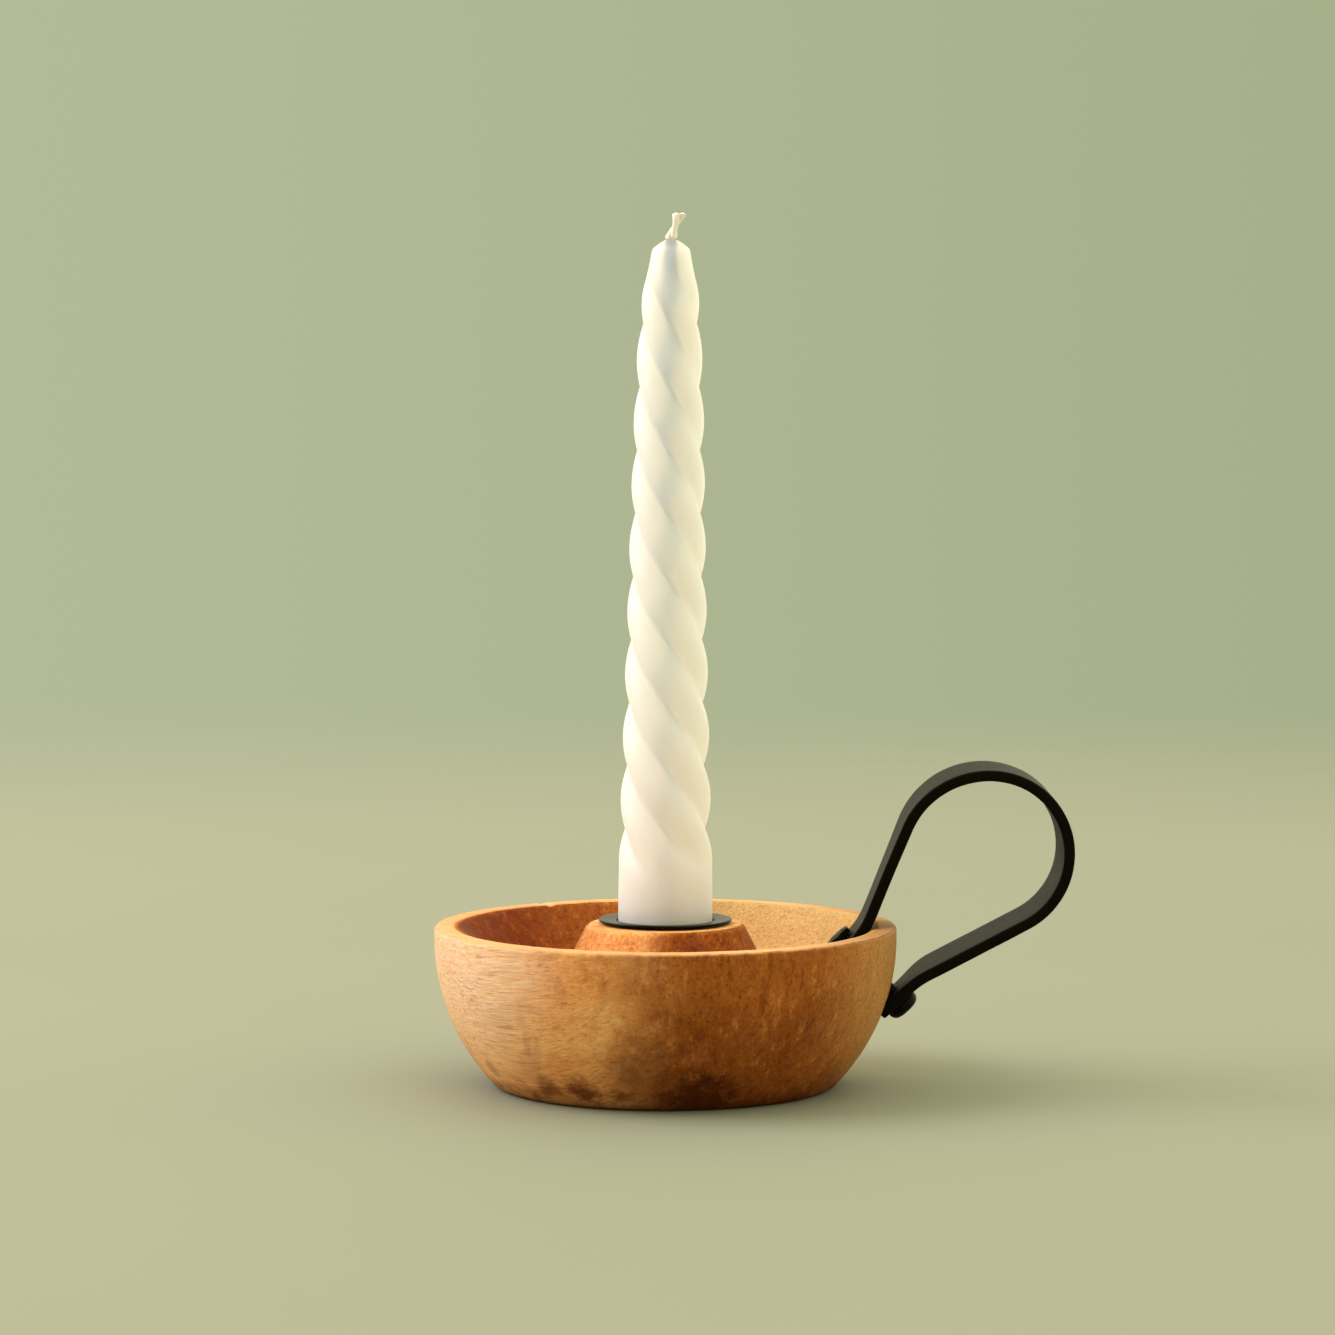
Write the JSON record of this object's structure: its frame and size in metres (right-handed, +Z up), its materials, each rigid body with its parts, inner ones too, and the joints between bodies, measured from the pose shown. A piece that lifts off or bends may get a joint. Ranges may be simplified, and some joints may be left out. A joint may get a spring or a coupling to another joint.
{
  "type": "chamberstick",
  "caption": "Turned wooden chamberstick: open bowl with a central boss, steel candle cup with drip flange, bent steel strap handle and a twisted taper candle.",
  "frame": {"origin": "centre of the bowl's flat base, on the surface that it stands on", "axes": "+Z up along the candle, +X towards the handle, +Y away from the viewer of the front"},
  "size_m": [0.1483, 0.1076, 0.2022],
  "materials": {
    "turned_wood": "oiled, with open end grain and dark stains near the base",
    "cup_steel": "black, satin",
    "screw_steel": "zinc plated",
    "black_steel": "black, low sheen",
    "fixing_steel": "black oxide",
    "candle_wax": "ivory wax, soft satin",
    "wick_cotton": "twisted unburnt cotton"
  },
  "bodies": {
    "root": {"bowl": "turned_wood", "candle_cup": "cup_steel", "cup_screw": "screw_steel", "handle_strap": "black_steel", "handle_bolt": "fixing_steel", "handle_nut": "fixing_steel"},
    "candle": {"candle": "candle_wax", "wick": "wick_cotton"}
  },
  "joints": [
    {"name": "candle_lift", "type": "slide", "parent": "root", "child": "candle", "axis": [0, 0, 1], "range_m": [0, 0.03]}
  ]
}
